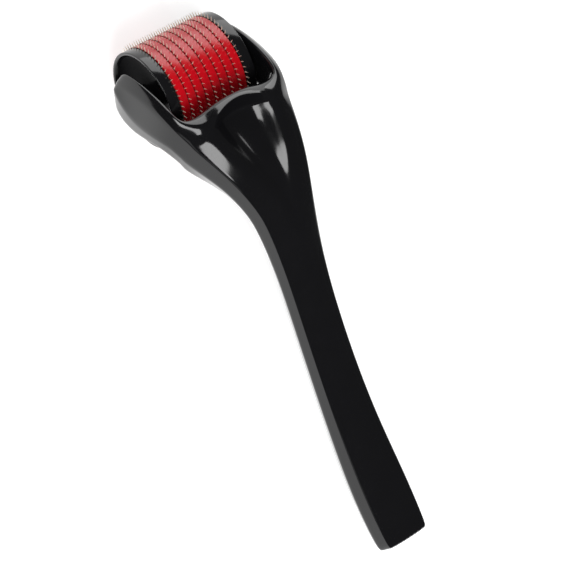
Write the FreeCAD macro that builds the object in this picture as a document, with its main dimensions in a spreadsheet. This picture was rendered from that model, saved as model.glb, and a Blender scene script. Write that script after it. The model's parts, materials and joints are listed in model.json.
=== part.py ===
"""Derma roller: a forked one-piece handle that carries a free-turning needle drum.

The drum is a stack on a keyed core: stamped needle discs with translucent spacer rings between
them, and a cupped end cap on each side. A steel axle pin runs through the caps and sits in a
blind hole in each fork arm.

Row frame: +X along the axle, +Y from the handle's tail to the drum, +Z up. The roller lies on
its needle tips and on the underside of its tail, with the origin on that surface, in the middle
of its length and width. Every body is drawn about the axle's centre and then placed.
"""
import FreeCAD, Part
import Sketcher
import os

Vector = FreeCAD.Vector
Placement = FreeCAD.Placement
Rotation = FreeCAD.Rotation

# Driving dimensions, in millimetres and degrees. Each name is the alias of its cell.
SIZES = {
    # needle drum
    "rim_radius": 12.5,
    "needle_length": 1.3,
    "needle_base": 0.42,
    "needle_tip": 0.06,
    "needle_root": 0.5,
    "needle_count": 60,
    "disc_count": 9,
    "disc_thick": 0.3,
    "row_pitch": 2.35,
    "clocking": 2.0,
    "core_radius": 6.0,
    "core_bore": 4.0,
    "key_width": 2.0,
    "key_height": 0.9,
    "stack_clear": 0.05,
    "rim_width": 2.75,
    "rim_wall": 0.7,
    "dish_draft": 1.6,
    "cap_web": 1.0,
    "hub_radius": 3.4,
    "hub_sink": 0.6,
    "spigot_clear": 0.03,
    "spigot_length": 2.5,
    # axle
    "axle_radius": 1.0,
    "axle_run_clear": 0.05,
    "axle_seat_clear": 0.02,
    "axle_engage": 3.0,
    "axle_end_gap": 0.2,
    "axle_chamfer": 0.25,
    # fork
    "side_gap": 1.0,
    "needle_gap": 0.7,
    "well_corner": 4.4,
    "well_floor": 10.2,
    "arch_rise": 3.2,
    "arm_wall": 3.2,
    "shoulder_wall": 0.8,
    "tip_radius": 7.1,
    "tip_lift": 2.3,
    "tip_slope": 42.0,
    "pad_radius": 3.0,
    "pad_gap": 0.35,
    # thumb scoop
    "scoop_bulge": 2.6,
    "scoop_reach": 12.0,
    # tail
    "tail_height": 8.6,
    "tail_rise": 1.6,
}

# Handle sections, tail first: place along the handle from the axle (y), height of the top edges
# over the axle (z), slope of the spine in degrees, half width between the top edges, how far the
# side crease stands out from them, how deep it lies, full depth, half width of the underside and
# crown of the top. The tail rests beside the needle tips, and the fork is set out from its arms.
SECTION_KEYS = ("y", "z", "slope", "top", "out", "sink", "deep", "base", "crown")
SECTIONS = [
    (-125.0, "=tail_height - needle_radius", 0.0, 5.5, 1.7, 3.5, 9.2, 4.4, 0.5),
    (-111.0, "=tail_height + tail_rise - needle_radius", 6.0, 5.9, 2.0, 3.6, 10.0, 4.6, 0.6),
    (-92.0, -0.8, 12.0, 5.1, 1.7, 3.5, 9.0, 3.8, 0.8),
    (-70.5, 5.4, 18.5, 4.6, 1.6, 3.4, 8.6, 3.4, 0.9),
    (-52.2, 12.2, 22.0, 4.8, 1.7, 3.4, 8.4, 3.6, 1.1),
    (-39.4, 17.2, 17.0, 6.6, 2.0, 3.5, 8.6, 5.2, 1.8),
    (-27.6, 19.6, 3.0, 10.0, 2.2, 3.8, 9.1, 9.2, 3.2),
    (-16.0, 17.5, -18.0, "=fork_half + shoulder_wall", 2.3, 4.3, 9.8, "=fork_half + shoulder_wall", 4.6),
    (-4.5, 12.6, -31.0, "=fork_half + arm_wall", 2.1, 5.0, 11.0, "=fork_half + arm_wall", 5.4),
    (3.2, 6.6, -40.0, "=fork_half + arm_wall", 1.9, 5.6, 12.4, "=fork_half + arm_wall", 5.8),
    (9.9, -0.6, -46.0, "=fork_half + arm_wall", 1.7, 5.8, 12.8, "=fork_half + arm_wall", 6.0),
]

# Thumb scoop sections, front first: place along the handle from the axle, height of the lowest
# line over the axle, half width, and how far the floor is dished below its own side edges.
SCOOP_KEYS = ("y", "z", "half", "dish")
SCOOP_SECTIONS = [
    (-12.0, 15.2, 9.0, 2.4),
    (-19.0, 16.6, 7.8, 2.4),
    (-26.0, 18.4, 5.2, 2.0),
    (-33.0, 19.4, 2.6, 1.2),
    (-38.0, 19.2, 0.6, 0.3),
]
FAR = 60.0


def make_sheet(doc):
    """Writes every driving dimension, and the sizes worked out from them, into one spreadsheet."""
    sheet = doc.addObject("Spreadsheet::Sheet", "sizes")
    cells = dict(SIZES)
    for number, section in enumerate(SECTIONS):
        cells.update({f"{key}_of_section_{number}_": size for key, size in zip(SECTION_KEYS, section)})
    for number, section in enumerate(SCOOP_SECTIONS):
        cells.update({f"{key}_of_scoop_{number}_": size for key, size in zip(SCOOP_KEYS, section)})
    derived = {
        "needle_radius": "=rim_radius + needle_length",
        "stack_half": "=row_pitch * (disc_count - 1) / 2 + disc_thick / 2",
        "drum_half": "=stack_half + rim_width",
        "fork_half": "=drum_half + side_gap",
        "well_radius": "=needle_radius + needle_gap",
        "axle_y": "=(0 - y_of_section_0_ - needle_radius) / 2",
        "axle_half": "=fork_half + axle_engage - axle_end_gap",
        "ring_bore": "=core_radius + stack_clear",
        "hub_face": "=drum_half - hub_sink",
        "web_face": "=stack_half + cap_web",
        "pad_face": "=hub_face + pad_gap",
        "disc_radius": "=rim_radius - needle_root",
        "spacer_thick": "=row_pitch - disc_thick",
    }
    cells.update(derived)
    for row, alias in enumerate(cells, start=1):
        sheet.set(f"A{row}", alias)
        sheet.setAlias(f"B{row}", alias)
    for row, value in enumerate(cells.values(), start=1):
        sheet.set(f"B{row}", str(value))
    doc.recompute()
    return sheet


def settle(doc):
    """Recomputes and stops at the first failed object."""
    doc.recompute()
    for item in doc.Objects:
        if "Invalid" in item.State or "Error" in item.State:
            raise RuntimeError(f"{item.Name} failed: {item.State}")


def new_body(doc, label):
    """A body drawn about the axle's centre and placed with it at the sheet's place."""
    body = doc.addObject("PartDesign::Body", label)
    body.Label = label
    body.setExpression("Placement.Base.y", "sizes.axle_y")
    body.setExpression("Placement.Base.z", "sizes.needle_radius")
    return body


def new_sketch(body, name, role, lift="0", up="0", axis=None, turn="0"):
    """A sketch on one of the body's origin planes, lifted along its normal, moved up and turned."""
    sketch = body.newObject("Sketcher::SketchObject", name)
    plane = [part for part in body.Origin.OriginFeatures if part.Role == role][0]
    sketch.AttachmentSupport = [(plane, "")]
    sketch.MapMode = "FlatFace"
    if axis is not None:
        sketch.AttachmentOffset = Placement(Vector(0, 0, 0), Rotation(axis, 1.0))
        sketch.setExpression("AttachmentOffset.Rotation.Angle", turn)
    sketch.setExpression("AttachmentOffset.Base.y", up)
    sketch.setExpression("AttachmentOffset.Base.z", lift)
    return sketch


def add_circle(sketch, radius):
    """A circle about the sketch's origin, with its radius bound to the sheet."""
    start = float(sketch.evalExpression(radius))
    index = sketch.addGeometry(Part.Circle(Vector(0, 0, 0), Vector(0, 0, 1), start), False)
    sketch.addConstraint(Sketcher.Constraint("Coincident", index, 3, -1, 1))
    bound = sketch.addConstraint(Sketcher.Constraint("Radius", index, start))
    sketch.setExpression(f"Constraints[{bound}]", radius)


def add_outline(sketch, corners):
    """A closed outline, bound to the sheet. Each corner is a pair of expressions for its place,
    with a third when the edge to the next corner is an arc: how far it bulges to its right."""
    at = [Vector(*(float(sketch.evalExpression(part)) for part in corner[:2]), 0) for corner in corners]
    edges = []
    for number, corner in enumerate(corners):
        here, there = at[number], at[(number + 1) % len(at)]
        if len(corner) == 2:
            edges.append((sketch.addGeometry(Part.LineSegment(here, there), False), 1, 2))
            continue
        along = there - here
        bulge = float(sketch.evalExpression(corner[2]))
        crest = here + along * 0.5 + Vector(along.y, -along.x, 0).normalize() * bulge
        if bulge > 0:
            edges.append((sketch.addGeometry(Part.Arc(here, crest, there), False), 1, 2))
        else:
            edges.append((sketch.addGeometry(Part.Arc(there, crest, here), False), 2, 1))
    rules, bindings = [], []
    for number, (index, first, last) in enumerate(edges):
        corner, after = corners[number], edges[(number + 1) % len(edges)]
        rules.append(Sketcher.Constraint("Coincident", index, last, after[0], after[1]))
        for kind, expression, size in zip(("DistanceX", "DistanceY"), corner, at[number]):
            bindings.append((len(rules), expression))
            rules.append(Sketcher.Constraint(kind, -1, 1, index, first, size))
        if len(corner) == 3:
            bindings.append((len(rules), bulge_radius(corner, corners[(number + 1) % len(corners)])))
            rules.append(Sketcher.Constraint("Radius", index, sketch.Geometry[index].Radius))
    sketch.addConstraint(rules)
    for number, expression in bindings:
        sketch.setExpression(f"Constraints[{number}]", expression)


def bulge_radius(corner, after):
    """The expression for an arc's radius, from the places of its two ends and its bulge."""
    half = f"sqrt(pow({after[0]} - ({corner[0]}); 2) + pow({after[1]} - ({corner[1]}); 2)) / 2"
    return f"(pow({half}; 2) + pow({corner[2]}; 2)) / (2 * abs({corner[2]}))"


def add_feature(body, kind, name, sketch, **settings):
    """A sketch-based feature. A setting that is a string is bound as an expression."""
    feature = body.newObject(f"PartDesign::{kind}", name)
    feature.Profile = sketch
    for key, value in settings.items():
        if isinstance(value, str):
            feature.setExpression(key, value)
        else:
            setattr(feature, key, value)
    body.Tip = feature
    sketch.Visibility = False
    return feature


def add_outer_shape(body):
    """Grip and fork as one loft of six-sided sections along the handle."""
    profiles = []
    for number in range(len(SECTIONS)):
        key = {name: f"sizes.{name}_of_section_{number}_" for name in SECTION_KEYS}
        sketch = new_sketch(body, f"section_{number}", "XZ_Plane", lift=f"-{key['y']}", up=key["z"],
                            axis=Vector(1, 0, 0), turn=key["slope"])
        crease = f"{key['top']} + {key['out']}"
        sink = f"-{key['sink']}"
        deep = f"-{key['deep']}"
        add_outline(sketch, [
            (key["top"], "0", key["crown"]), (f"-{key['top']}", "0"), (f"-({crease})", sink),
            (f"-{key['base']}", deep), (key["base"], deep), (crease, sink),
        ])
        profiles.append(sketch)
    add_feature(body, "AdditiveLoft", "outer_shape", profiles[0], Sections=profiles[1:])


def add_fork_cuts(body):
    """Rounds the arm ends, then cuts the wheel well and the opening with its arched lip."""
    nose = new_sketch(body, "nose_outline", "YZ_Plane", axis=Vector(0, 0, 1), turn="-sizes.tip_slope")
    far = str(FAR)
    add_outline(nose, [
        ("0", "sizes.tip_lift - sizes.tip_radius"), ("0", f"-{far}"), (far, f"-{far}"), (far, far),
        ("0", far), ("0", "sizes.tip_lift + sizes.tip_radius", "-0.9 * sizes.tip_radius"),
    ])
    add_feature(body, "Pocket", "nose_round", nose, Type=1, Midplane=True)

    well = new_sketch(body, "well_circle", "YZ_Plane")
    add_circle(well, "sizes.well_radius")
    add_feature(body, "Pocket", "wheel_well", well, Midplane=True, Length="2 * sizes.fork_half")

    inner, corner, floor = "sizes.fork_half", "sizes.well_corner", "-sizes.well_floor"
    shoulder = f"({inner} - {corner})"
    quarter = f"{corner} * (1 - sqrt(0.5))"
    opening = new_sketch(body, "opening_outline", "XY_Plane")
    add_outline(opening, [
        (inner, far), (f"-{inner}", far), (f"-{inner}", f"{floor} + {corner}", quarter),
        (f"-{shoulder}", floor, "-sizes.arch_rise"), (shoulder, floor, quarter),
        (inner, f"{floor} + {corner}"),
    ])
    add_feature(body, "Pocket", "fork_opening", opening, Type=1, Midplane=True)


def add_thumb_scoop(body):
    """A dished recess behind the lip: a lofted bowl with an arched front wall."""
    profiles = []
    for number in range(len(SCOOP_SECTIONS)):
        key = {name: f"sizes.{name}_of_scoop_{number}_" for name in SCOOP_KEYS}
        sketch = new_sketch(body, f"scoop_section_{number}", "XZ_Plane", lift=f"-{key['y']}", up=key["z"])
        half, dish, reach = key["half"], key["dish"], "sizes.scoop_reach"
        add_outline(sketch, [(half, reach), (f"-{half}", reach), (f"-{half}", dish, dish), (half, dish)])
        profiles.append(sketch)
    add_feature(body, "SubtractiveLoft", "scoop_bowl", profiles[0], Sections=profiles[1:])

    half, start = "sizes.half_of_scoop_0_", "sizes.y_of_scoop_0_"
    front = new_sketch(body, "scoop_front_outline", "XY_Plane",
                       lift="sizes.z_of_scoop_0_ + sizes.dish_of_scoop_0_ / 2")
    add_outline(front, [(half, start, "sizes.scoop_bulge"), (f"-{half}", start)])
    add_feature(body, "Pocket", "scoop_front", front, Reversed=True, Length="sizes.scoop_reach")


def add_axle_seats(body):
    """A thrust pad inside each arm and a blind seat for each end of the axle."""
    for side, sign in (("left", "-"), ("right", "")):
        pad = new_sketch(body, f"{side}_pad_circle", "YZ_Plane", lift=f"{sign}sizes.pad_face")
        add_circle(pad, "sizes.pad_radius")
        add_feature(body, "Pad", f"{side}_thrust_pad", pad, Reversed=side == "left",
                    Length="sizes.fork_half - sizes.pad_face + sizes.axle_engage / 2")
    seat = new_sketch(body, "seat_circle", "YZ_Plane")
    add_circle(seat, "sizes.axle_radius + sizes.axle_seat_clear")
    add_feature(body, "Pocket", "axle_seats", seat, Midplane=True,
                Length="2 * (sizes.fork_half + sizes.axle_engage)")


def add_foot(body):
    """Cuts the tail's underside flat, level with the needle tips."""
    foot = new_sketch(body, "foot_outline", "XY_Plane", lift="-sizes.needle_radius")
    half, tail, front = "sizes.rim_radius", "2 * sizes.y_of_section_0_", "sizes.y_of_section_2_"
    add_outline(foot, [(half, front), (f"-{half}", front), (f"-{half}", tail), (half, tail)])
    add_feature(body, "Pocket", "foot", foot, Length="sizes.rim_radius")


def make_handle(doc):
    """The one-piece handle: grip, fork, wheel well, thumb scoop and axle seats."""
    body = new_body(doc, "handle")
    add_outer_shape(body)
    settle(doc)
    add_fork_cuts(body)
    settle(doc)
    add_thumb_scoop(body)
    settle(doc)
    add_axle_seats(body)
    add_foot(body)
    settle(doc)
    return body


def make_axle(doc):
    """The steel pin the drum turns on, chamfered at both ends."""
    body = new_body(doc, "axle_pin")
    sketch = new_sketch(body, "pin_circle", "YZ_Plane")
    add_circle(sketch, "sizes.axle_radius")
    pin = add_feature(body, "Pad", "pin", sketch, Midplane=True, Length="2 * sizes.axle_half")
    doc.recompute()
    rims = [f"Edge{n}" for n, edge in enumerate(pin.Shape.Edges, 1) if edge.Curve.TypeId == "Part::GeomCircle"]
    chamfer = body.newObject("PartDesign::Chamfer", "pin_ends")
    chamfer.Base = (pin, rims)
    chamfer.setExpression("Size", "sizes.axle_chamfer")
    body.Tip = chamfer
    settle(doc)
    return body


def make_end_cap(doc, side, sign):
    """A cupped end cap: rim, web, hub and the spigot that plugs into the core."""
    body = new_body(doc, f"{side}_end_cap")
    sketch = new_sketch(body, f"{side}_cap_outline", "XY_Plane")
    bore, spigot = "sizes.axle_radius + sizes.axle_run_clear", "sizes.core_bore - sizes.spigot_clear"
    lip = "sizes.rim_radius - sizes.rim_wall"
    tail = "(sizes.stack_half - sizes.spigot_length)"
    outline = [
        (tail, bore), ("sizes.hub_face", bore), ("sizes.hub_face", "sizes.hub_radius"),
        ("sizes.web_face", "sizes.hub_radius"), ("sizes.web_face", f"{lip} - sizes.dish_draft"),
        ("sizes.drum_half", lip), ("sizes.drum_half", "sizes.rim_radius"),
        ("sizes.stack_half", "sizes.rim_radius"), ("sizes.stack_half", spigot), (tail, spigot),
    ]
    add_outline(sketch, [(f"{sign}{x}", r) for x, r in outline])
    add_feature(body, "Revolution", f"{side}_cap", sketch, ReferenceAxis=(sketch, ["H_Axis"]), Angle=360)
    settle(doc)
    return body


def make_core(doc):
    """The tube the discs and spacers slide onto, with one key along its full length."""
    body = new_body(doc, "drum_core")
    tube = new_sketch(body, "tube_circles", "YZ_Plane")
    add_circle(tube, "sizes.core_radius")
    add_circle(tube, "sizes.core_bore")
    add_feature(body, "Pad", "tube", tube, Midplane=True, Length="2 * sizes.stack_half")
    key = new_sketch(body, "key_outline", "YZ_Plane")
    add_key_outline(key, "sizes.key_width / 2", "sizes.core_radius + sizes.key_height")
    add_feature(body, "Pad", "key", key, Midplane=True, Length="2 * sizes.stack_half")
    settle(doc)
    return body


def add_key_outline(sketch, half, top):
    """The outline of the key or of its slot, from inside the tube's wall up to the given height."""
    low = "(sizes.core_bore + sizes.core_radius) / 2"
    add_outline(sketch, [(half, top), (f"-{half}", top), (f"-{half}", low), (half, low)])


def make_ring(doc, label, place, radius, thickness):
    """A flat ring with a keyed bore, at its place along the axle."""
    body = new_body(doc, label)
    body.setExpression("Placement.Base.x", place)
    ring = new_sketch(body, f"{label}_circles", "YZ_Plane")
    add_circle(ring, radius)
    add_circle(ring, "sizes.ring_bore")
    add_feature(body, "Pad", f"{label}_ring", ring, Midplane=True, Length=thickness)
    slot = new_sketch(body, f"{label}_slot_outline", "YZ_Plane")
    add_key_outline(slot, "(sizes.key_width / 2 + sizes.stack_clear)",
                    "sizes.core_radius + sizes.key_height + sizes.stack_clear")
    add_feature(body, "Pocket", f"{label}_slot", slot, Midplane=True, Type=1)
    return body


def make_needle_disc(doc, number):
    """A stamped disc ringed with needles, clocked on from the disc before it."""
    label = f"needle_disc_{number}"
    place = f"({number} - (sizes.disc_count + 1) / 2) * sizes.row_pitch"
    body = make_ring(doc, label, place, "sizes.disc_radius", "sizes.disc_thick")
    turn = f"{number - 1} * sizes.clocking"
    sketch = new_sketch(body, f"{label}_needle_outline", "YZ_Plane", axis=Vector(0, 0, 1), turn=turn)
    base, tip = "sizes.needle_base / 2", "sizes.needle_tip / 2"
    root, point = "-(sizes.disc_radius - sizes.needle_root)", "-sizes.needle_radius"
    add_outline(sketch, [(base, root), (f"-{base}", root), (f"-{tip}", point), (tip, point)])
    needle = add_feature(body, "Pad", f"{label}_needle", sketch, Midplane=True, Length="sizes.disc_thick")
    doc.recompute()
    pattern = body.newObject("PartDesign::PolarPattern", f"{label}_needles")
    pattern.Originals = [needle]
    pattern.Axis = (sketch, ["N_Axis"])
    pattern.Angle = 360
    pattern.setExpression("Occurrences", "sizes.needle_count")
    body.Tip = pattern
    settle(doc)
    return body


def make_spacer(doc, number):
    """A translucent ring that keeps two discs apart."""
    place = f"({number} - sizes.disc_count / 2) * sizes.row_pitch"
    body = make_ring(doc, f"spacer_ring_{number}", place, "sizes.rim_radius", "sizes.spacer_thick")
    settle(doc)
    return body


def make_all(doc):
    """Every piece of the roller."""
    discs = int(SIZES["disc_count"])
    bodies = [make_handle(doc), make_axle(doc), make_core(doc)]
    bodies += [make_end_cap(doc, side, sign) for side, sign in (("left", "-"), ("right", ""))]
    bodies += [make_needle_disc(doc, number) for number in range(1, discs + 1)]
    bodies += [make_spacer(doc, number) for number in range(1, discs)]
    return bodies


def export(bodies):
    """Checks every piece, then writes one STEP file for each."""
    for body in bodies:
        if body.Shape.isNull() or not body.Shape.isValid() or len(body.Shape.Solids) != 1:
            raise RuntimeError(f"{body.Label} has no single valid solid")
    os.makedirs("parts", exist_ok=True)
    for body in bodies:
        body.Shape.exportStep(f"parts/{body.Label}.step")


def main():
    """Builds the document and writes the pieces."""
    doc = FreeCAD.newDocument("derma_roller")
    make_sheet(doc)
    bodies = make_all(doc)
    settle(doc)
    export(bodies)


main()
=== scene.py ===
"""Derma roller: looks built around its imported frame.

A glossy black forked handle carries a red drum ringed with fine steel needles. The handle is a
subdivision surface pulled out ring by ring; the drum's pieces are spun and copied.
Sizes are in millimetres about the axle's centre, as a maker would draw them, and are turned into
metres in the row frame as each point is placed.
"""
import json
import logging
import math
from dataclasses import dataclass, field
from enum import Enum

import bmesh
import bpy
from mathutils import Matrix, Vector

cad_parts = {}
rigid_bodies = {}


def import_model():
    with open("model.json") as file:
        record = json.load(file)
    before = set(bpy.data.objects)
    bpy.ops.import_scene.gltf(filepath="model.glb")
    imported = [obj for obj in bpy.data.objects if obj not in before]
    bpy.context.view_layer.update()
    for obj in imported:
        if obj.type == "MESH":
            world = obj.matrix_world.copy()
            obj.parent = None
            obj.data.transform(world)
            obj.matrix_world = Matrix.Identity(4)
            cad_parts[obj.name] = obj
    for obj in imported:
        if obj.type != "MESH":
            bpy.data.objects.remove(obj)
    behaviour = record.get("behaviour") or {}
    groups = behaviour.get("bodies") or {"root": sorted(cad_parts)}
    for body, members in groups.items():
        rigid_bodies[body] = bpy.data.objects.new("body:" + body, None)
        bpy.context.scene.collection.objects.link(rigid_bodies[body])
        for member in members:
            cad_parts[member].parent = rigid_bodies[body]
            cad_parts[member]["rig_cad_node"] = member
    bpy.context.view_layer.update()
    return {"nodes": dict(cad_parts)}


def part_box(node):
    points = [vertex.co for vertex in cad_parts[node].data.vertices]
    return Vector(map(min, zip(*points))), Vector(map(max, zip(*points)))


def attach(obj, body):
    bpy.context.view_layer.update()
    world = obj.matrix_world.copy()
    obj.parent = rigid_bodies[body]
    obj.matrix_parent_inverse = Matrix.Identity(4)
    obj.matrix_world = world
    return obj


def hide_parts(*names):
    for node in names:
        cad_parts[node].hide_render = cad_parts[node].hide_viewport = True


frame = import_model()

MM = 0.001
LOG = logging.getLogger("derma_roller")


class Side(Enum):
    """A side of the roller, with the sign of its X."""

    LEFT = -1
    RIGHT = 1


class Slot(Enum):
    """The record's material slots."""

    HANDLE = "handle_black"
    CAP = "cap_black"
    SPACER = "spacer_red"
    CORE = "core_red"
    NEEDLE = "needle_steel"
    AXLE = "axle_steel"


def axle_centre() -> Vector:
    """Finds the axle's centre in the row frame, in metres.

    Returns:
        The middle of the axle pin's box.
    """
    low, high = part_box("axle_pin")
    return (low + high) / 2


AXLE = axle_centre()


def placed(x: float, y: float, z: float) -> Vector:
    """Turns a point about the axle, in millimetres, into the row frame, in metres."""
    return AXLE + Vector((x, y, z)) * MM


def about_axle(angle: float) -> Matrix:
    """The turn about the axle by an angle in radians."""
    return Matrix.Translation(AXLE) @ Matrix.Rotation(angle, 4, "X") @ Matrix.Translation(-AXLE)


# ---------------------------------------------------------------- edit-mode helpers


def deselect_all() -> None:
    """Leaves edit mode and deselects every object."""
    if bpy.context.object is not None and bpy.context.object.mode != "OBJECT":
        bpy.ops.object.mode_set(mode="OBJECT")
    bpy.ops.object.select_all(action="DESELECT")


def make_active(piece: bpy.types.Object) -> None:
    """Selects one object alone and makes it active."""
    deselect_all()
    piece.select_set(True)
    bpy.context.view_layer.objects.active = piece


def apply_modifier(piece: bpy.types.Object, kind: str, name: str, **settings) -> None:
    """Adds a modifier with its settings and applies it.

    Args:
        piece: the object to change.
        kind: the modifier's type, such as BEVEL.
        name: the modifier's name.
        settings: its properties.
    """
    modifier = piece.modifiers.new(name, kind)
    for key, value in settings.items():
        setattr(modifier, key, value)
    make_active(piece)
    bpy.ops.object.modifier_apply(modifier=modifier.name)


def settle_piece(piece: bpy.types.Object, name: str, smooth_angle: float) -> bpy.types.Object:
    """Names a finished piece, puts its place in its mesh and smooths its shading.

    Args:
        piece: the finished object.
        name: its name in the scene.
        smooth_angle: edges sharper than this many degrees stay sharp.

    Returns:
        The same object.
    """
    make_active(piece)
    bpy.ops.object.transform_apply(location=True, rotation=True, scale=True)
    bpy.ops.object.shade_smooth_by_angle(angle=math.radians(smooth_angle))
    piece.name = name
    piece.data.name = name
    return piece


def copied(piece: bpy.types.Object, name: str, move: Matrix) -> bpy.types.Object:
    """Copies a piece with a mesh of its own, moved in its mesh.

    Args:
        piece: the object to copy.
        name: the copy's name.
        move: the copy's move in the row frame.

    Returns:
        The copy, linked to the scene.
    """
    twin = piece.copy()
    twin.data = piece.data.copy()
    twin.data.transform(move)
    twin.name = name
    twin.data.name = name
    bpy.context.scene.collection.objects.link(twin)
    return twin


@dataclass
class Cage:
    """A mesh in edit mode whose chains of vertices are pulled out one after another."""

    piece: bpy.types.Object

    @property
    def mesh(self) -> bmesh.types.BMesh:
        """The edit mesh, with its vertices ready to be looked up by index."""
        mesh = bmesh.from_edit_mesh(self.piece.data)
        mesh.verts.ensure_lookup_table()
        return mesh

    def put(self, chain: list[int], places: list[Vector]) -> None:
        """Puts a chain's vertices at their places."""
        mesh = self.mesh
        for index, place in zip(chain, places):
            mesh.verts[index].co = place
        bmesh.update_edit_mesh(self.piece.data)

    def pick(self, chains: list[list[int]], closed: bool = False) -> None:
        """Selects the edges along chains of vertices, and nothing else.

        Args:
            chains: chains of vertex numbers.
            closed: whether each chain's last vertex joins its first.
        """
        bpy.ops.mesh.select_mode(type="EDGE")
        bpy.ops.mesh.select_all(action="DESELECT")
        mesh = self.mesh
        for chain in chains:
            ends = list(zip(chain, chain[1:]))
            if closed:
                ends.append((chain[-1], chain[0]))
            for first, last in ends:
                mesh.edges.get((mesh.verts[first], mesh.verts[last])).select_set(True)
        bmesh.update_edit_mesh(self.piece.data)

    def pull(self, chain: list[int], places: list[Vector], closed: bool = False) -> list[int]:
        """Extrudes a chain of edges and puts the new vertices at their places.

        Args:
            chain: the vertices to pull from, in order.
            places: where each new vertex goes.
            closed: whether the chain is a ring.

        Returns:
            The new vertices, in the same order.
        """
        self.pick([chain], closed)
        bpy.ops.mesh.extrude_region_move(TRANSFORM_OT_translate={"value": (0, 0, 0)})
        mesh = self.mesh
        fresh = [vert for vert in mesh.verts if vert.select]
        made = []
        for index in chain:
            old = mesh.verts[index]
            near = [edge.other_vert(old) for edge in old.link_edges if edge.other_vert(old) in fresh]
            made.append(near[0].index)
        self.put(made, places)
        return made

    def fill(self, chain: list[int]) -> None:
        """Closes a ring with one face."""
        self.pick([chain], closed=True)
        bpy.ops.mesh.edge_face_add()

    def bridge(self, first: list[int], second: list[int]) -> None:
        """Joins two chains of the same length with faces."""
        self.pick([first, second])
        bpy.ops.mesh.bridge_edge_loops()

    def crease(self, chains: list[list[int]], sharpness: float) -> None:
        """Gives the edges along chains a crease for the subdivision surface."""
        self.pick(chains)
        bpy.ops.transform.edge_crease(value=sharpness)


# ---------------------------------------------------------------- handle


@dataclass(frozen=True)
class Section:
    """One section of the handle: its place about the axle and its half outline.

    Attributes:
        y: place along the handle.
        z: height of its top edges.
        slope: slope of the spine there, in degrees.
        top: half width between the top edges.
        out: how far the side crease stands out from the top edge.
        sink: how far it lies below.
        deep: full depth.
        base: half width of the underside.
        crown: rise of the top's middle over its edges.
        lanes: half widths of the three lanes inside the top edge.
        dip: how far the middle and first lane are sunk, for the thumb scoop.
    """

    y: float
    z: float
    slope: float
    top: float
    out: float
    sink: float
    deep: float
    base: float
    crown: float
    lanes: tuple[float, float, float]
    dip: tuple[float, float] = (0.0, 0.0)

    def at(self, x: float, up: float) -> Vector:
        """A point of this section, from its half width and its height over the top edges."""
        lean = math.radians(self.slope)
        return placed(x, self.y - up * math.sin(lean), self.z + up * math.cos(lean))

    def rise(self, x: float) -> float:
        """Height of the top over its edges at a half width."""
        return self.crown * (1 - (x / self.top) ** 1.5)

    def ring(self) -> list[Vector]:
        """The whole outline: top from left to right, then right side, underside and left side."""
        inner, middle, outer = self.lanes
        middle_dip, inner_dip = self.dip
        half = [(0.0, self.crown - middle_dip), (inner, self.rise(inner) - inner_dip),
                (middle, self.rise(middle)), (outer, self.rise(outer)), (self.top, 0.0),
                (self.top + self.out, -self.sink), (self.base, -self.deep)]
        share = self.base / self.top
        half += [(x * share, -self.deep - 0.15) for x in (outer, middle, inner)]
        half.append((0.0, -self.deep - 0.2))
        return mirrored_ring([self.at(x, up) for x, up in half])


def mirrored_ring(half: list[Vector]) -> list[Vector]:
    """Makes a whole ring from its right half.

    Args:
        half: the right half's points, from the middle of the top to the middle of the underside.

    Returns:
        The ring, starting at the middle of the top and going right.
    """
    left = [Vector((-point.x, point.y, point.z)) for point in reversed(half[1:-1])]
    return half + left


GRIP = (
    Section(-125.0, -4.9, 0.0, 5.5, 1.3, 3.0, 8.9, 4.6, 0.5, (1.3, 2.6, 4.0)),
    Section(-124.0, -4.8, 2.0, 5.9, 1.5, 3.2, 9.0, 4.9, 0.6, (1.4, 2.8, 4.3)),
    Section(-111.0, -3.4, 6.0, 6.3, 1.7, 3.2, 9.9, 5.2, 0.9, (1.5, 3.0, 4.6)),
    Section(-92.0, -0.8, 12.0, 5.5, 1.4, 2.8, 9.0, 4.2, 1.1, (1.2, 2.4, 3.9)),
    Section(-70.5, 5.4, 18.5, 5.2, 1.2, 2.6, 8.6, 3.8, 1.3, (1.1, 2.3, 3.7)),
    Section(-52.2, 12.4, 22.5, 5.4, 1.2, 2.6, 8.4, 4.0, 1.5, (0.8, 1.9, 3.7)),
    Section(-40.0, 17.8, 16.0, 6.8, 1.5, 2.9, 8.5, 5.6, 2.1, (0.5, 1.3, 4.2)),
    Section(-35.0, 19.4, 10.0, 7.8, 1.6, 3.1, 8.8, 7.0, 2.5, (1.0, 2.4, 5.2), (1.3, 0.7)),
    Section(-28.0, 20.2, 0.0, 9.9, 1.6, 3.5, 9.2, 9.4, 3.3, (2.2, 5.0, 7.3), (3.4, 2.8)),
    Section(-21.0, 18.9, -13.0, 12.2, 1.7, 4.2, 9.6, 12.2, 4.6, (3.4, 7.4, 9.8), (5.3, 4.4)),
    Section(-15.5, 17.0, -21.0, 14.0, 1.7, 4.7, 9.8, 14.6, 6.1, (4.2, 8.5, 11.6), (6.7, 5.6)),
)


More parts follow.
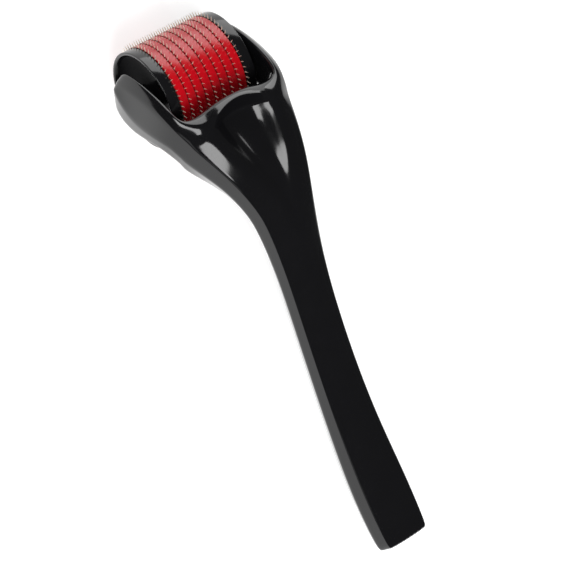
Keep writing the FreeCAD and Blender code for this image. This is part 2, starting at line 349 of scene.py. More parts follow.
@dataclass
class Handle:
    """The one-piece handle, from its tail to the ends of the fork's arms.

    Attributes:
        edge_crease: sharpness of the long edges between its facets.
        scoop_crease: sharpness of the front wall's two edges in the thumb scoop.
        levels: subdivisions of the finished surface.
        scoop_foot: right half of the ring at the foot of the scoop's front wall.
        scoop_brow: right half of the ring at the top of that wall.
        opening: right half of the ring at the wheel well's lip.
        wall_top: right half of the upper row of the wheel well's wall.
        wall_middle: right half of its lower row.
        arm: the right arm's sections, from the fork to its tip.
        pad_radius: radius of the thrust pads.
        pad_bore: radius of the hole in them.
        pad_span: where each pad starts and ends along the axle.
        pad_bevel: width of the rounding on their edges.
        pad_steps: steps in their full turn.
        smooth_angle: edges sharper than this many degrees stay sharp.
    """

    edge_crease: float = 0.85
    scoop_crease: float = 0.6
    levels: int = 3
    scoop_foot: tuple[tuple[float, float, float], ...] = (
        (0.0, -11.6, 15.7), (4.4, -12.1, 16.2), (8.3, -13.5, 20.0), (11.9, -13.5, 19.2),
        (14.5, -13.6, 16.7), (16.1, -15.5, 12.5), (15.1, -17.4, 8.4), (11.9, -17.8, 8.0),
        (8.4, -17.9, 7.8), (4.3, -18.0, 7.8), (0.0, -18.0, 7.8),
    )
    scoop_brow: tuple[tuple[float, float, float], ...] = (
        (0.0, -8.8, 20.2), (4.6, -9.7, 20.6), (8.7, -12.0, 20.4), (12.2, -12.0, 19.1),
        (15.0, -12.2, 16.6), (16.7, -14.1, 12.3), (15.7, -15.9, 8.2), (12.2, -16.4, 7.4),
        (8.6, -16.6, 7.0), (4.4, -16.8, 7.0), (0.0, -16.8, 7.0),
    )
    opening: tuple[tuple[float, float, float], ...] = (
        (0.0, -7.4, 19.2), (4.6, -7.5, 18.8), (9.4, -8.3, 17.3), (13.7, -8.5, 17.5),
        (15.8, -9.6, 16.1), (17.4, -11.8, 11.9), (16.8, -13.6, 8.2), (13.8, -14.0, 6.2),
        (8.8, -14.2, 5.4), (4.5, -14.2, 5.4), (0.0, -14.2, 5.4),
    )
    wall_top: tuple[tuple[float, float, float], ...] = (
        (0.0, -7.6, 17.0), (4.6, -7.9, 16.4), (9.4, -9.2, 14.6), (14.1, -8.8, 14.8),
    )
    wall_middle: tuple[tuple[float, float, float], ...] = (
        (0.0, -11.5, 10.8), (4.6, -11.5, 10.8), (9.2, -11.9, 10.4), (14.2, -11.4, 10.0),
    )
    arm: tuple[tuple[tuple[float, float, float], ...], ...] = (
        ((14.9, -4.2, 16.2), (16.9, -5.4, 14.5), (18.4, -9.0, 9.1), (17.7, -10.6, 6.3),
         (14.2, -10.6, 6.3), (14.2, -8.4, 9.8), (13.9, -4.9, 15.1)),
        ((15.0, 3.4, 10.3), (17.1, 2.1, 8.2), (18.65, -2.5, 1.8), (17.9, -5.4, -2.2),
         (14.2, -5.4, -2.2), (14.2, -1.8, 3.2), (13.9, 2.6, 9.2)),
        ((15.1, 7.7, 4.9), (17.3, 5.9, 2.2), (18.5, 5.2, 0.8), (17.8, 0.4, -5.2),
         (14.2, 0.4, -5.2), (14.2, 3.2, -1.5), (14.0, 7.0, 4.2)),
        ((15.1, 8.6, 2.2), (16.4, 7.6, 0.6), (17.2, 6.5, -0.8), (16.9, 3.6, -4.2),
         (14.6, 3.6, -4.2), (14.5, 5.4, -1.8), (14.5, 7.8, 1.2)),
    )
    pad_radius: float = 3.0
    pad_bore: float = 0.9
    pad_span: tuple[float, float] = (12.05, 15.4)
    pad_bevel: float = 0.25
    pad_steps: int = 48
    smooth_angle: float = 60.0

    def ring_of(self, half: tuple[tuple[float, float, float], ...]) -> list[Vector]:
        """A whole ring from the right half's points about the axle."""
        return mirrored_ring([placed(*point) for point in half])

    def build(self) -> bpy.types.Object:
        """Pulls the whole cage out from the tail and smooths it.

        Returns:
            The finished handle.
        """
        deselect_all()
        first = GRIP[0].ring()
        bpy.ops.mesh.primitive_circle_add(vertices=len(first), fill_type="NGON", radius=MM)
        piece = bpy.context.object
        bpy.ops.object.mode_set(mode="EDIT")
        cage = Cage(piece)
        ring = list(range(len(first)))
        cage.put(ring, first)
        rings = [ring]
        outlines = [section.ring() for section in GRIP[1:]]
        outlines += [self.ring_of(half) for half in (self.scoop_foot, self.scoop_brow, self.opening)]
        for outline in outlines:
            rings.append(cage.pull(rings[-1], outline, closed=True))
        self.close_front(cage, rings)
        bpy.ops.mesh.select_all(action="SELECT")
        bpy.ops.mesh.normals_make_consistent(inside=False)
        bpy.ops.object.mode_set(mode="OBJECT")
        apply_modifier(piece, "SUBSURF", "smooth", levels=self.levels, render_levels=self.levels)
        self.keep_above_rest(piece)
        pads = [self.thrust_pad(side) for side in Side]
        make_active(piece)
        for pad in pads:
            pad.select_set(True)
        bpy.ops.object.join()
        return settle_piece(piece, "handle_shell", self.smooth_angle)

    def keep_above_rest(self, piece: bpy.types.Object) -> None:
        """Flattens the tail's underside on the surface that the roller rests on."""
        for vert in piece.data.vertices:
            vert.co.z = max(vert.co.z, 0.0)

    def thrust_pad(self, side: Side) -> bpy.types.Object:
        """The round pad inside an arm that keeps the drum from rubbing on it.

        Args:
            side: which arm.

        Returns:
            The finished pad.
        """
        face, root = self.pad_span
        profile = [(face, self.pad_bore), (root, self.pad_bore),
                   (root, self.pad_radius), (face, self.pad_radius)]
        turned = [(x * side.value, r) for x, r in profile]
        return spun(f"{side.name.lower()}_thrust_pad", turned, self.pad_steps, self.pad_bevel)

    def close_front(self, cage: Cage, rings: list[list[int]]) -> None:
        """Makes the wheel well's wall and both arms, and creases the long edges.

        Args:
            cage: the handle's cage.
            rings: its rings, from the tail to the fork's opening.
        """
        foot, brow, last = rings[-3:]
        size = len(last)
        cage.crease([[ring[index % size] for index in range(-2, 3)] for ring in (foot, brow)],
                    self.scoop_crease)
        lip = [last[index % size] for index in range(-3, 4)]
        floor = [last[10 + step] for step in (3, 2, 1, 0, -1, -2, -3)]
        top_row = self.across(self.wall_top)
        middle_row = self.across(self.wall_middle)
        upper = cage.pull(lip, top_row)
        lower = cage.pull(upper, middle_row)
        cage.bridge(lower, floor)
        for side in Side:
            self.make_arm(cage, last, upper, lower, side, rings)

    def across(self, half: tuple[tuple[float, float, float], ...]) -> list[Vector]:
        """A row across the wheel well, from left to right, from its right half's points."""
        right = [placed(*point) for point in half]
        left = [Vector((-point.x, point.y, point.z)) for point in reversed(right[1:])]
        return left + right

    def make_arm(self, cage: Cage, last: list[int], upper: list[int], lower: list[int],
                 side: Side, rings: list[list[int]]) -> None:
        """Pulls one arm out of the fork and creases the long edges of that side.

        Args:
            cage: the handle's cage.
            last: the ring at the fork's opening.
            upper: the upper row of the wheel well's wall.
            lower: the lower row of the wheel well's wall.
            side: which arm.
            rings: the handle's rings, for its long edges.
        """
        size = len(last)
        places = [index if side is Side.RIGHT else (size - index) % size for index in (3, 4, 5, 6, 7)]
        end = -1 if side is Side.RIGHT else 0
        ring = [last[place] for place in places] + [lower[end], upper[end]]
        rows = [ring]
        for outline in self.arm:
            points = [placed(x * side.value, y, z) for x, y, z in outline]
            rows.append(cage.pull(rows[-1], points, closed=True))
        cage.fill(rows[-1])
        top_edge = [row[places[1]] for row in rings] + [row[1] for row in rows[1:]]
        side_edge = [row[places[2]] for row in rings] + [row[2] for row in rows[1:]]
        low_edge = [row[places[3]] for row in rings] + [row[3] for row in rows[1:]]
        cage.crease([top_edge, side_edge], self.edge_crease)
        cage.crease([low_edge], self.edge_crease / 2)


# ---------------------------------------------------------------- drum


def spun(name: str, profile: list[tuple[float, float]], steps: int, bevel: float) -> bpy.types.Object:
    """Spins a closed profile about the axle.

    Args:
        name: the piece's name.
        profile: its corners as (place along the axle, radius), in millimetres.
        steps: how many steps make the full turn.
        bevel: width of the rounding on its edges, in millimetres.

    Returns:
        The finished piece.
    """
    deselect_all()
    bpy.ops.mesh.primitive_circle_add(vertices=len(profile), fill_type="NOTHING", radius=MM)
    piece = bpy.context.object
    bpy.ops.object.mode_set(mode="EDIT")
    Cage(piece).put(list(range(len(profile))), [placed(x, 0.0, r) for x, r in profile])
    bpy.ops.mesh.select_all(action="SELECT")
    bpy.ops.mesh.spin(steps=steps, angle=math.tau, center=AXLE, axis=(1, 0, 0))
    bpy.ops.mesh.select_all(action="SELECT")
    bpy.ops.mesh.remove_doubles(threshold=1e-6)
    bpy.ops.mesh.normals_make_consistent(inside=False)
    bpy.ops.object.mode_set(mode="OBJECT")
    apply_modifier(piece, "BEVEL", "round", width=bevel * MM, segments=3, limit_method="ANGLE",
                   angle_limit=math.radians(28), use_clamp_overlap=True)
    return settle_piece(piece, name, 35)


@dataclass
class Drum:
    """The needle drum: discs and spacers on a core, between two cupped caps.

    Lengths are in millimetres and angles in degrees.

    Attributes:
        rim_radius: outer radius of the caps and spacers.
        rim_wall: thickness of a cap's rim at its open edge.
        cap_web: thickness of a cap's web.
        hub_radius: radius of a cap's hub.
        hub_flare: how much wider the hub is at its foot.
        hub_sink: how far the hub's face lies inside the rim's.
        dish_draft: how far the dish's corner reaches in from the rim.
        dish_corner: how far that corner rises, and where it meets the rim's inside.
        rim_chamfer: the open edge's chamfer along the axle and inwards.
        cap_bevel: rounding of a cap's edges.
        bore: radius of the hole for the axle.
        core_radius: inner radius of the discs and spacers.
        row_pitch: distance from one row of needles to the next.
        disc_thick: thickness of a disc.
        disc_bevel: rounding of a disc's edges.
        spacer_bevel: rounding of a spacer's edges.
        disc_count: how many rows of needles there are.
        needle_count: how many needles a row has.
        needle_length: how far the needles stand out of the rim.
        needle_root: how far a disc's body stays below the rim.
        needle_sink: how far a needle starts inside its disc's body.
        needle_width: width of a needle round the drum.
        needle_slim: a needle's thickness as a share of its disc's.
        shoulder: where a needle's tip starts, as a share of its length.
        clocking: turn from one row to the next.
        steps: steps in a full turn.
    """

    rim_radius: float = 12.5
    rim_wall: float = 0.7
    cap_web: float = 1.0
    hub_radius: float = 3.4
    hub_flare: float = 0.3
    hub_sink: float = 0.6
    dish_draft: float = 1.6
    dish_corner: float = 0.5
    rim_chamfer: tuple[float, float] = (0.35, 0.2)
    cap_bevel: float = 0.22
    bore: float = 1.05
    core_radius: float = 6.05
    row_pitch: float = 2.35
    disc_thick: float = 0.3
    disc_bevel: float = 0.04
    spacer_bevel: float = 0.09
    disc_count: int = 9
    needle_count: int = 60
    needle_length: float = 1.3
    needle_root: float = 0.5
    needle_sink: float = 0.15
    needle_width: float = 0.32
    needle_slim: float = 0.9
    shoulder: float = 0.45
    clocking: float = 2.0
    steps: int = 120

    @property
    def stack_half(self) -> float:
        """Half width of the stack of discs and spacers."""
        return self.row_pitch * (self.disc_count - 1) / 2 + self.disc_thick / 2

    @property
    def drum_half(self) -> float:
        """Half width of the whole drum, from its packed cap."""
        return (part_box("right_end_cap")[1].x - AXLE.x) / MM

    def end_cap(self, side: Side) -> bpy.types.Object:
        """A cupped cap: rim, dished web and hub.

        Args:
            side: which end of the drum.

        Returns:
            The finished cap.
        """
        inner, outer = self.stack_half, self.drum_half
        lip = self.rim_radius - self.rim_wall
        web, hub_face = inner + self.cap_web, outer - self.hub_sink
        chamfer, draft = self.rim_chamfer
        profile = [
            (inner, self.bore), (hub_face, self.bore), (hub_face, self.hub_radius),
            (web, self.hub_radius + self.hub_flare), (web, lip - self.dish_draft),
            (web + self.dish_corner, lip - self.dish_corner), (outer - chamfer, lip - draft),
            (outer, lip), (outer, self.rim_radius), (inner, self.rim_radius),
        ]
        turned = [(x * side.value, r) for x, r in profile]
        return spun(f"{side.name.lower()}_cap_cup", turned, self.steps, self.cap_bevel)

    def spacer(self) -> bpy.types.Object:
        """The first spacer ring, with softly rounded edges."""
        half = (self.row_pitch - self.disc_thick) / 2
        middle = -self.stack_half + self.disc_thick + half
        profile = [(middle - half, self.core_radius), (middle + half, self.core_radius),
                   (middle + half, self.rim_radius), (middle - half, self.rim_radius)]
        return spun("spacer_1", profile, self.steps, self.spacer_bevel)

    def disc(self) -> bpy.types.Object:
        """The first disc with its ring of tapered needles."""
        half = self.disc_thick / 2
        middle = -self.stack_half + half
        radius = self.rim_radius - self.needle_root
        profile = [(middle - half, self.core_radius), (middle + half, self.core_radius),
                   (middle + half, radius), (middle - half, radius)]
        ring = spun("disc_1", profile, self.steps, self.disc_bevel)
        needles = self.needles(middle, radius)
        make_active(ring)
        needles.select_set(True)
        bpy.ops.object.join()
        return settle_piece(ring, "disc_1", 40)

    def needles(self, middle: float, radius: float) -> bpy.types.Object:
        """One ring of needles: a tapered spike, pointed by a second taper, copied round.

        Args:
            middle: place of the disc along the axle.
            radius: radius that the needles stand on.

        Returns:
            All the needles as one object.
        """
        deselect_all()
        bpy.ops.mesh.primitive_cube_add(size=1)
        spike = bpy.context.object
        root, point = radius - self.needle_sink, self.rim_radius + self.needle_length
        shank = (point - root) * self.shoulder
        bpy.ops.transform.resize(
            value=(self.disc_thick * self.needle_slim * MM, self.needle_width * MM, shank * MM))
        spike.location = placed(middle, 0.0, root + shank / 2)
        bpy.ops.object.transform_apply(location=True, rotation=True, scale=True)
        bpy.ops.object.mode_set(mode="EDIT")
        self.taper_tip(spike, root + shank, point)
        bpy.ops.object.mode_set(mode="OBJECT")
        spikes = [spike]
        for number in range(1, self.needle_count):
            turn = about_axle(math.tau * number / self.needle_count)
            spikes.append(copied(spike, f"spike_{number}", turn))
        make_active(spike)
        for other in spikes[1:]:
            other.select_set(True)
        bpy.ops.object.join()
        return spike

    def taper_tip(self, spike: bpy.types.Object, shoulder: float, point: float) -> None:
        """Narrows the spike's top face and pulls it out to its tip.

        Args:
            spike: the spike, in edit mode.
            shoulder: radius of its shoulder.
            point: radius of its tip.
        """
        bpy.ops.mesh.select_mode(type="FACE")
        bpy.ops.mesh.select_all(action="DESELECT")
        mesh = bmesh.from_edit_mesh(spike.data)
        for face in mesh.faces:
            face.select_set(face.normal.z > 0.9)
        bmesh.update_edit_mesh(spike.data)
        bpy.ops.transform.resize(value=(0.85, 0.55, 1))
        bpy.ops.mesh.extrude_region_move(
            TRANSFORM_OT_translate={"value": (0, 0, (point - shoulder) * MM)})
        bpy.ops.transform.resize(value=(0.3, 0.15, 1))

    def turned_along(self, piece: bpy.types.Object, name: str, step: int,
                     turn: float) -> bpy.types.Object:
        """A copy of a disc or spacer some rows along the axle, clocked round by an angle.

        Args:
            piece: the first disc or spacer.
            name: the copy's name.
            step: how many rows along.
            turn: the angle in degrees.

        Returns:
            The copy.
        """
        shift = Matrix.Translation((step * self.row_pitch * MM, 0, 0))
        return copied(piece, name, shift @ about_axle(math.radians(turn)))


# ---------------------------------------------------------------- finishes


def shader(material: bpy.types.Material) -> bpy.types.ShaderNode:
    """The Principled BSDF of a material."""
    return next(node for node in material.node_tree.nodes if node.type == "BSDF_PRINCIPLED")


def new_material(name: str) -> bpy.types.Material:
    """An empty node material with a Principled BSDF."""
    material = bpy.data.materials.new(name)
    material.use_nodes = True
    return material


def moulded_skin_group() -> bpy.types.ShaderNodeTree:
    """The skin of moulded plastic, used by every plastic finish.

    Returns:
        A group that puts out a base colour with faint mottling, a roughness with handling haze
        and the height of a faint moulding ripple.
    """
    group = bpy.data.node_groups.new("moulded_skin", "ShaderNodeTree")
    face = group.interface
    face.new_socket("Colour", in_out="INPUT", socket_type="NodeSocketColor")
    for name in ("Gloss Roughness", "Haze", "Ripple Scale"):
        face.new_socket(name, in_out="INPUT", socket_type="NodeSocketFloat")
    face.new_socket("Colour", in_out="OUTPUT", socket_type="NodeSocketColor")
    for name in ("Roughness", "Height"):
        face.new_socket(name, in_out="OUTPUT", socket_type="NodeSocketFloat")
    nodes, links = group.nodes, group.links
    enter, leave = nodes.new("NodeGroupInput"), nodes.new("NodeGroupOutput")
    where = nodes.new("ShaderNodeTexCoord")
    haze = nodes.new("ShaderNodeTexNoise")
    haze.inputs["Scale"].default_value = 160.0
    haze.inputs["Detail"].default_value = 4.0
    links.new(where.outputs["Object"], haze.inputs["Vector"])
    ripple = nodes.new("ShaderNodeTexNoise")
    ripple.inputs["Detail"].default_value = 1.0
    links.new(where.outputs["Object"], ripple.inputs["Vector"])
    links.new(enter.outputs["Ripple Scale"], ripple.inputs["Scale"])
    spread = nodes.new("ShaderNodeMath")
    spread.operation = "MULTIPLY_ADD"
    links.new(haze.outputs["Fac"], spread.inputs[0])
    links.new(enter.outputs["Haze"], spread.inputs[1])
    links.new(enter.outputs["Gloss Roughness"], spread.inputs[2])
    tint = nodes.new("ShaderNodeHueSaturation")
    links.new(enter.outputs["Colour"], tint.inputs["Color"])
    lift = nodes.new("ShaderNodeMapRange")
    lift.inputs["To Min"].default_value = 0.88
    lift.inputs["To Max"].default_value = 1.12
    links.new(haze.outputs["Fac"], lift.inputs["Value"])
    links.new(lift.outputs["Result"], tint.inputs["Value"])
    links.new(tint.outputs["Color"], leave.inputs["Colour"])
    links.new(spread.outputs["Value"], leave.inputs["Roughness"])
    links.new(ripple.outputs["Fac"], leave.inputs["Height"])
    return group


def radial_mask_group() -> bpy.types.ShaderNodeTree:
    """How far out from the axle a point lies, for the caps' glossy rim and the painted shade on the
    discs' bodies.

    Returns:
        A group that puts out 0 inside the inner radius and 1 outside the outer one.
    """
    group = bpy.data.node_groups.new("radial_mask", "ShaderNodeTree")
    for name in ("Inner", "Outer"):
        group.interface.new_socket(name, in_out="INPUT", socket_type="NodeSocketFloat")
    group.interface.new_socket("Mask", in_out="OUTPUT", socket_type="NodeSocketFloat")
    nodes, links = group.nodes, group.links
    enter, leave = nodes.new("NodeGroupInput"), nodes.new("NodeGroupOutput")
    where = nodes.new("ShaderNodeTexCoord")
    about = nodes.new("ShaderNodeVectorMath")
    about.operation = "SUBTRACT"
    about.inputs[1].default_value = AXLE
    links.new(where.outputs["Object"], about.inputs[0])
    flat = nodes.new("ShaderNodeVectorMath")
    flat.operation = "MULTIPLY"
    flat.inputs[1].default_value = (0.0, 1.0, 1.0)
    links.new(about.outputs["Vector"], flat.inputs[0])
    radius = nodes.new("ShaderNodeVectorMath")
    radius.operation = "LENGTH"
    links.new(flat.outputs["Vector"], radius.inputs[0])
    ramp = nodes.new("ShaderNodeMapRange")
    links.new(radius.outputs["Value"], ramp.inputs["Value"])
    links.new(enter.outputs["Inner"], ramp.inputs["From Min"])
    links.new(enter.outputs["Outer"], ramp.inputs["From Max"])
    links.new(ramp.outputs["Result"], leave.inputs["Mask"])
    return group


def masked(material: bpy.types.Material, mask: bpy.types.ShaderNodeTree, span: tuple[float, float],
           low: float, high: float) -> bpy.types.NodeSocket:
    """A value that goes from low to high between two radii about the axle.

    Args:
        material: the material it is used in.
        mask: the radial mask group.
        span: the two radii, in millimetres.
        low: the value at the inner radius.
        high: the value at the outer radius.

    Returns:
        The socket with the value.
    """
    nodes, links = material.node_tree.nodes, material.node_tree.links
    group = nodes.new("ShaderNodeGroup")
    group.node_tree = mask
    group.inputs["Inner"].default_value = span[0] * MM
    group.inputs["Outer"].default_value = span[1] * MM
    ramp = nodes.new("ShaderNodeMapRange")
    ramp.inputs["To Min"].default_value = low
    ramp.inputs["To Max"].default_value = high
    links.new(group.outputs["Mask"], ramp.inputs["Value"])
    return ramp.outputs["Result"]


@dataclass(frozen=True)
class MouldedPlastic:
    """A glossy moulded plastic.

    Attributes:
        name: the material's name.
        colour: its base colour.
        roughness: the lowest roughness.
        haze: how much handling haze adds to it.
        ripple_scale: scale of the faint moulding ripple.
        ripple_height: height of the ripple, in metres.
        through: how much light passes into it.
    """

    name: str
    colour: tuple[float, float, float]
    roughness: float
    haze: float
    ripple_scale: float
    ripple_height: float
    through: float = 0.0

    def build(self, skin: bpy.types.ShaderNodeTree) -> bpy.types.Material:
        """Makes the material around the shared skin group.

        Args:
            skin: the moulded skin group.

        Returns:
            The material.
        """
        material = new_material(self.name)
        nodes, links = material.node_tree.nodes, material.node_tree.links
        body = shader(material)
        group = nodes.new("ShaderNodeGroup")
        group.node_tree = skin
        group.inputs["Colour"].default_value = (*self.colour, 1.0)
        group.inputs["Gloss Roughness"].default_value = self.roughness
        group.inputs["Haze"].default_value = self.haze
        group.inputs["Ripple Scale"].default_value = self.ripple_scale
        bump = nodes.new("ShaderNodeBump")
        bump.inputs["Strength"].default_value = 1.0
        bump.inputs["Distance"].default_value = self.ripple_height
        links.new(group.outputs["Height"], bump.inputs["Height"])
        links.new(bump.outputs["Normal"], body.inputs["Normal"])
        links.new(group.outputs["Colour"], body.inputs["Base Color"])
        links.new(group.outputs["Roughness"], body.inputs["Roughness"])
        body.inputs["Subsurface Weight"].default_value = self.through
        body.inputs["Subsurface Radius"].default_value = (1.0, 0.15, 0.15)
        body.inputs["Subsurface Scale"].default_value = 0.0015
        return material


@dataclass(frozen=True)
class Steel:
    """Polished steel with fine grinding marks.

    Attributes:
        name: the material's name.
        colour: its base colour.
        roughness: its roughness.
        marks: scale of the grinding marks.
        metal: how metallic it is; less makes it catch light from all round.
    """

    name: str
    colour: tuple[float, float, float]
    roughness: float
    marks: float
    metal: float

    def build(self) -> bpy.types.Material:
        """Makes the material.

        Returns:
            The material.
        """
        material = new_material(self.name)
        nodes, links = material.node_tree.nodes, material.node_tree.links
        body = shader(material)
        body.inputs["Metallic"].default_value = self.metal
        where = nodes.new("ShaderNodeTexCoord")
        marks = nodes.new("ShaderNodeTexNoise")
        marks.inputs["Scale"].default_value = self.marks
        links.new(where.outputs["Object"], marks.inputs["Vector"])
        ramp = nodes.new("ShaderNodeMapRange")
        ramp.inputs["To Min"].default_value = self.roughness * 0.8
        ramp.inputs["To Max"].default_value = self.roughness * 1.3
        links.new(marks.outputs["Fac"], ramp.inputs["Value"])
        links.new(ramp.outputs["Result"], body.inputs["Roughness"])
        tint = nodes.new("ShaderNodeMix")
        tint.data_type = "RGBA"
        tint.inputs["A"].default_value = (*(0.8 * part for part in self.colour), 1.0)
        tint.inputs["B"].default_value = (*self.colour, 1.0)
        links.new(marks.outputs["Fac"], tint.inputs["Factor"])
        links.new(tint.outputs["Result"], body.inputs["Base Color"])
        return material


BLACK = MouldedPlastic("gloss_black_abs", (0.0035, 0.0035, 0.004), 0.07, 0.06, 350.0, 0.000004)
CAP_BLACK = MouldedPlastic("cap_black_abs", (0.004, 0.004, 0.0045), 0.1, 0.08, 500.0, 0.000003)
RED = MouldedPlastic("clear_red_plastic", (0.33, 0.001, 0.005), 0.24, 0.08, 700.0, 0.000003, 0.15)
CORE_RED = MouldedPlastic("core_red_plastic", (0.25, 0.003, 0.006), 0.2, 0.1, 500.0, 0.000003)
NEEDLE_STEEL = Steel("needle_steel", (0.85, 0.76, 0.62), 0.3, 4000.0, 0.6)
AXLE_STEEL = Steel("axle_steel", (0.6, 0.6, 0.61), 0.3, 2500.0, 1.0)


def dress(piece: bpy.types.Object, material: bpy.types.Material, slot: Slot, body: str,
          *nodes: str) -> None:
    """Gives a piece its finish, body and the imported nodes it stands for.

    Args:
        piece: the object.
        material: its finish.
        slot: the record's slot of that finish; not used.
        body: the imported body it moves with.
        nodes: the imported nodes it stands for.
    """
    piece.data.materials.clear()
    piece.data.materials.append(material)
    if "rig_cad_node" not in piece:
        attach(piece, body)
    if nodes:
        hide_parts(*nodes)
    LOG.info("%s: %d faces on %s", piece.name, len(piece.data.polygons), body)


# ---------------------------------------------------------------- studio


@dataclass(frozen=True)
class Softbox:
    """A rectangular soft light.

    Attributes:
        name: its name.
        towards: direction from the drum to the light.
        distance: how far it stands, in metres.
        size: its width and height, in metres.
        power: its power in watts.
        in_gloss: whether glossy surfaces mirror it.
    """

    name: str
    towards: tuple[float, float, float]
    distance: float
    size: tuple[float, float]
    power: float
    in_gloss: bool = True

    def build(self, target: Vector) -> None:
        """Adds the light, facing the target."""
        light = bpy.data.lights.new(self.name, "AREA")
        light.shape = "RECTANGLE"
        light.size, light.size_y = self.size
        light.energy = self.power
        lamp = bpy.data.objects.new(self.name, light)
        back = Vector(self.towards).normalized()
        lamp.location = target + back * self.distance
        lamp.rotation_mode = "QUATERNION"
        lamp.rotation_quaternion = (-back).to_track_quat("-Z", "Y")
        lamp.visible_glossy = self.in_gloss
        bpy.context.scene.collection.objects.link(lamp)


@dataclass
class Studio:
    """The pale floor, the soft lights and the camera.

    Attributes:
        view: direction that the camera looks in.
        up: the camera's up direction.
        offset: from the drum's centre to the camera, in metres.
        lens: focal length for a 36 mm sensor.
        floor_half: half width of the floor, in metres.
        boxes: the soft lights.
    """

    view: tuple[float, float, float] = (0.4305, -0.0905, -0.8982)
    up: tuple[float, float, float] = (0.4445, 0.8873, 0.1237)
    offset: tuple[float, float, float] = (-0.2613, -0.00006, 0.5429)
    lens: float = 158.4
    floor_half: float = 6.0
    boxes: tuple[Softbox, ...] = field(default_factory=lambda: (
        Softbox("back_box", (0.43, 0.8, 0.34), 0.7, (0.7, 0.56), 4.6),
        Softbox("left_box", (-0.9, -0.3, 0.3), 0.8, (0.3, 0.2), 0.15),
        Softbox("top_box", (-0.5, 0.17, 0.84), 0.9, (0.6, 0.2), 3.0),
        Softbox("floor_fill", (-0.3, -0.6, 0.8), 1.2, (0.9, 0.9), 25.0, in_gloss=False),
    ))

    def build(self) -> None:
        """Adds the camera, the floor, the lights and the surroundings."""
        self.add_camera()
        self.add_floor()
        for box in self.boxes:
            box.build(AXLE)
        self.add_sky()

    def add_camera(self) -> None:
        """Adds the camera."""
        data = bpy.data.cameras.new("camera")
        data.lens = self.lens
        data.sensor_width = 36.0
        camera = bpy.data.objects.new("camera", data)
        back = -Vector(self.view).normalized()
        up = Vector(self.up)
        right = up.cross(back).normalized()
        up = back.cross(right)
        turn = Matrix((right, up, back)).transposed()
        camera.matrix_world = Matrix.Translation(AXLE + Vector(self.offset)) @ turn.to_4x4()
        bpy.context.scene.collection.objects.link(camera)
        bpy.context.scene.camera = camera

    def add_floor(self) -> None:
        """Adds the pale floor that the roller lies on."""
        deselect_all()
        bpy.ops.mesh.primitive_plane_add(size=2 * self.floor_half, location=(0, 0, 0))
        floor = bpy.context.object
        floor.name = "floor"
        material = new_material("pale_floor")
        body = shader(material)
        body.inputs["Base Color"].default_value = (0.6, 0.6, 0.6, 1)
        body.inputs["Roughness"].default_value = 0.9
        body.inputs["Emission Color"].default_value = (1, 1, 1, 1)
        body.inputs["Emission Strength"].default_value = 0.5
        floor.data.materials.append(material)

    def add_sky(self) -> None:
        """Sets the dim even light that surrounds everything."""
        world = bpy.data.worlds.new("studio")
        world.use_nodes = True
        background = world.node_tree.nodes["Background"]
        background.inputs["Color"].default_value = (1, 1, 1, 1)
        background.inputs["Strength"].default_value = 0.05
        bpy.context.scene.world = world
        bpy.context.scene.view_settings.view_transform = "Standard"


# ---------------------------------------------------------------- assembly


DISH_SPAN = (11.4, 11.9)
DISH_IOR, RIM_IOR = 1.04, 1.47
DISC_BODY_SPAN = (12.4, 12.75)
DISC_BODY_SHADE = 0.04


def gloss_cap_rim(black: bpy.types.Material, mask: bpy.types.ShaderNodeTree) -> None:
    """Leaves the caps' dish dull and gives the rim a glossy coat.

    Args:
        black: the caps' plastic.
        mask: the radial mask group.
    """
    body = shader(black)
    body.inputs["IOR"].default_value = DISH_IOR
    body.inputs["Coat IOR"].default_value = RIM_IOR
    body.inputs["Coat Roughness"].default_value = CAP_BLACK.roughness + CAP_BLACK.haze / 2
    black.node_tree.links.new(masked(black, mask, DISH_SPAN, 0.0, 1.0), body.inputs["Coat Weight"])


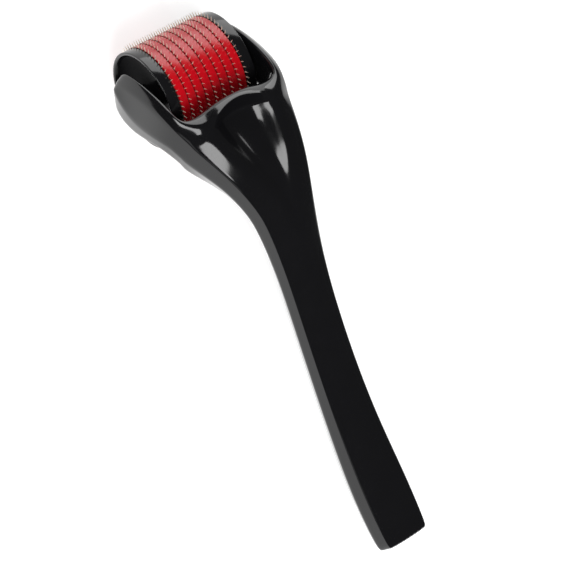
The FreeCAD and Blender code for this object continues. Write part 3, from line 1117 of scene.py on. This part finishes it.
def shade_disc_body(steel: bpy.types.Material, mask: bpy.types.ShaderNodeTree) -> None:
    """Darkens the discs' bodies between the spacers, where little light reaches.

    Args:
        steel: the needle steel.
        mask: the radial mask group.
    """
    nodes, links = steel.node_tree.nodes, steel.node_tree.links
    base = shader(steel).inputs["Base Color"]
    bright = base.links[0].from_socket
    darken = nodes.new("ShaderNodeVectorMath")
    darken.operation = "SCALE"
    links.new(bright, darken.inputs[0])
    links.new(masked(steel, mask, DISC_BODY_SPAN, DISC_BODY_SHADE, 1.0), darken.inputs["Scale"])
    links.new(darken.outputs["Vector"], base)


def build_drum(skin: bpy.types.ShaderNodeTree, mask: bpy.types.ShaderNodeTree) -> None:
    """Builds the drum's pieces and dresses them.

    Args:
        skin: the moulded skin group.
        mask: the radial mask group.
    """
    drum = Drum()
    black, red, core = CAP_BLACK.build(skin), RED.build(skin), CORE_RED.build(skin)
    gloss_cap_rim(black, mask)
    needle = NEEDLE_STEEL.build()
    shade_disc_body(needle, mask)
    for side in Side:
        dress(drum.end_cap(side), black, Slot.CAP, "drum", f"{side.name.lower()}_end_cap")
    spacer, disc = drum.spacer(), drum.disc()
    for number in range(2, drum.disc_count + 1):
        step = number - 1
        dress(drum.turned_along(disc, f"disc_{number}", step, step * drum.clocking), needle,
              Slot.NEEDLE, "drum", f"needle_disc_{number}")
        if number < drum.disc_count:
            dress(drum.turned_along(spacer, f"spacer_{number}", step, 0.0), red,
                  Slot.SPACER, "drum", f"spacer_ring_{number}")
    dress(disc, needle, Slot.NEEDLE, "drum", "needle_disc_1")
    dress(spacer, red, Slot.SPACER, "drum", "spacer_ring_1")
    dress(frame["nodes"]["drum_core"], core, Slot.CORE, "drum")


def build_handle(skin: bpy.types.ShaderNodeTree) -> None:
    """Builds the handle, and dresses it and the axle pin that it holds.

    Args:
        skin: the moulded skin group.
    """
    dress(frame["nodes"]["axle_pin"], AXLE_STEEL.build(), Slot.AXLE, "handle")
    dress(Handle().build(), BLACK.build(skin), Slot.HANDLE, "handle", "handle")


def main() -> None:
    """Builds every piece in order, then the studio around them."""
    logging.basicConfig(level=logging.INFO, format="%(message)s")
    skin = moulded_skin_group()
    build_drum(skin, radial_mask_group())
    build_handle(skin)
    Studio().build()


if __name__ == "__main__":
    main()
